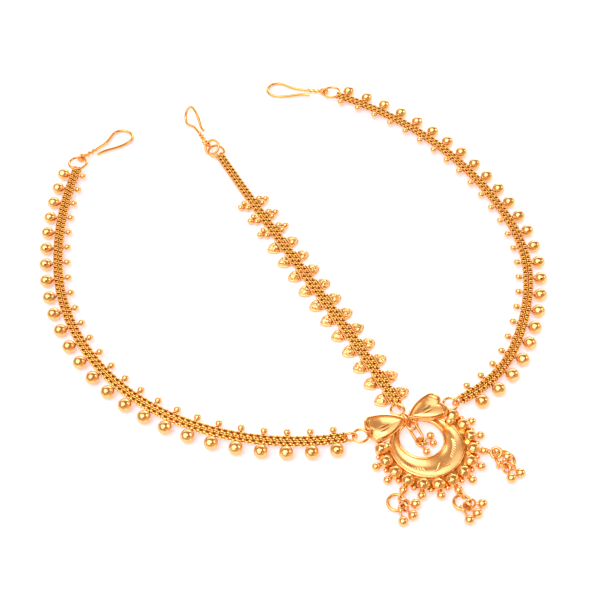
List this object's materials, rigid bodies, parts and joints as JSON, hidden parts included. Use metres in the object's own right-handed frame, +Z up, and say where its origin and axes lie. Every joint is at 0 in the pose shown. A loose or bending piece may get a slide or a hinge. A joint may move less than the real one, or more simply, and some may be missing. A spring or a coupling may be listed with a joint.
{
  "type": "maang tikka",
  "caption": "Head ornament with a crescent pendant, ball drops, three woven chains carrying beads, and a hair hook on each chain.",
  "frame": {"origin": "centre of the bounding box, at the surface that the ornament lies on", "axes": "+Z up from the surface, +Y from the pendant along the chains, +X across the spread chains"},
  "size_m": [0.159, 0.1837, 0.0066],
  "materials": {
    "pendant_gold": "polished yellow gold plate, with satin dished leaves",
    "bead_gold": "polished yellow gold plate, faceted balls",
    "woven_gold": "polished yellow gold plate, woven links",
    "drop_gold": "polished yellow gold plate",
    "wire_gold": "polished yellow gold plated wire"
  },
  "bodies": {
    "root": {"cluster_bars": "bead_gold", "drop_centre_a": "drop_gold", "drop_centre_b": "drop_gold", "drop_centre_c": "drop_gold", "drop_left_a": "drop_gold", "drop_left_b": "drop_gold", "drop_left_c": "drop_gold", "drop_right_a": "drop_gold", "drop_right_b": "drop_gold", "drop_right_c": "drop_gold", "drop_small_a": "drop_gold", "drop_small_b": "drop_gold", "drop_small_c": "drop_gold", "heart_bars": "bead_gold", "hook_centre": "wire_gold", "hook_left": "wire_gold", "hook_right": "wire_gold", "jump_ring_centre": "wire_gold", "jump_ring_hook": "wire_gold", "jump_ring_left": "wire_gold", "jump_ring_right": "wire_gold", "link_centre": "wire_gold", "link_drop": "wire_gold", "link_left": "wire_gold", "link_right": "wire_gold", "pendant": "pendant_gold", "ring_drop": "wire_gold", "ring_tassel_centre": "wire_gold", "ring_tassel_left": "wire_gold", "ring_tassel_right": "wire_gold", "ring_tassel_right_small": "wire_gold", "side_bars_left": "bead_gold", "side_bars_right": "bead_gold", "strap_centre": "woven_gold", "strap_left": "woven_gold", "strap_right": "woven_gold"}
  },
  "joints": []
}
